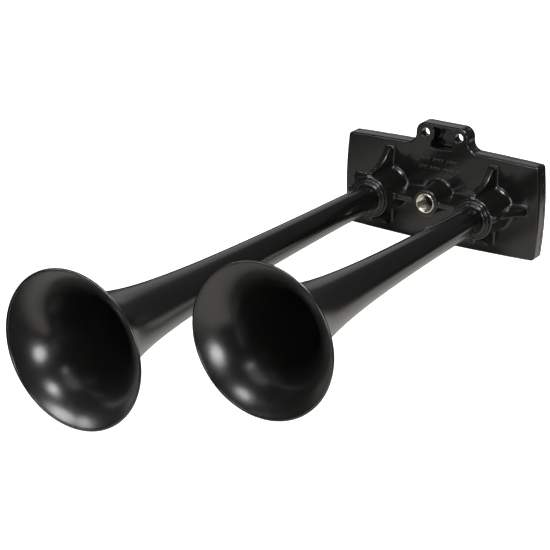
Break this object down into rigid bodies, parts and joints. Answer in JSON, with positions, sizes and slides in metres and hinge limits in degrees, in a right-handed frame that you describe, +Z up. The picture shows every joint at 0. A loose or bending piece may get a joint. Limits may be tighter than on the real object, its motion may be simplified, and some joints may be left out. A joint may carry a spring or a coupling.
{
  "type": "dual-trumpet air horn",
  "caption": "Air horn with a long and a short flared trumpet side by side on one moulded diaphragm manifold, with a top mounting tab and a threaded air inlet.",
  "frame": {"origin": "midway between the axes of the two bolt holes of the mounting tab, on the flat rear face", "axes": "+Z up, +Y back through the rear face along the bolts, the trumpets point along -Y, the long trumpet at -X"},
  "size_m": [0.1958, 0.401, 0.1101],
  "materials": {
    "housing_plastic": "moulded black, satin gloss",
    "trumpet_plastic": "moulded black, high gloss",
    "insert_metal": "nickel-plated, machined thread",
    "seal_rubber": "black nitrile",
    "nozzle_plastic": "natural acetal",
    "spring_steel": "rolled spring steel",
    "clamp_aluminium": "turned",
    "screw_steel": "zinc-plated"
  },
  "bodies": {
    "horn": {"front_housing": "housing_plastic", "rear_cover": "housing_plastic", "inlet_insert": "insert_metal", "trumpet_long": "trumpet_plastic", "trumpet_short": "trumpet_plastic", "trumpet_collar_long": "housing_plastic", "trumpet_collar_short": "housing_plastic", "trumpet_oring_long": "seal_rubber", "trumpet_oring_short": "seal_rubber", "throat_nozzle_long": "nozzle_plastic", "throat_nozzle_short": "nozzle_plastic", "front_seal_long": "seal_rubber", "front_seal_short": "seal_rubber", "rear_seal_long": "seal_rubber", "rear_seal_short": "seal_rubber", "clamp_ring_long": "clamp_aluminium", "clamp_ring_short": "clamp_aluminium", "clamp_screws_long": "screw_steel", "clamp_screws_short": "screw_steel", "cover_seal_long": "seal_rubber", "cover_seal_short": "seal_rubber", "cover_screws": "screw_steel"},
    "long_disc": {"diaphragm_long": "spring_steel"},
    "short_disc": {"diaphragm_short": "spring_steel"}
  },
  "joints": [
    {"name": "long_disc_lift", "type": "slide", "parent": "horn", "child": "long_disc", "axis": [0, 1, 0], "range_m": [0, 0.0003], "stiffness_N_per_m": 300, "deforming": ["rear_seal_long"]},
    {"name": "short_disc_lift", "type": "slide", "parent": "horn", "child": "short_disc", "axis": [0, 1, 0], "range_m": [0, 0.0003], "stiffness_N_per_m": 300, "deforming": ["rear_seal_short"]}
  ]
}
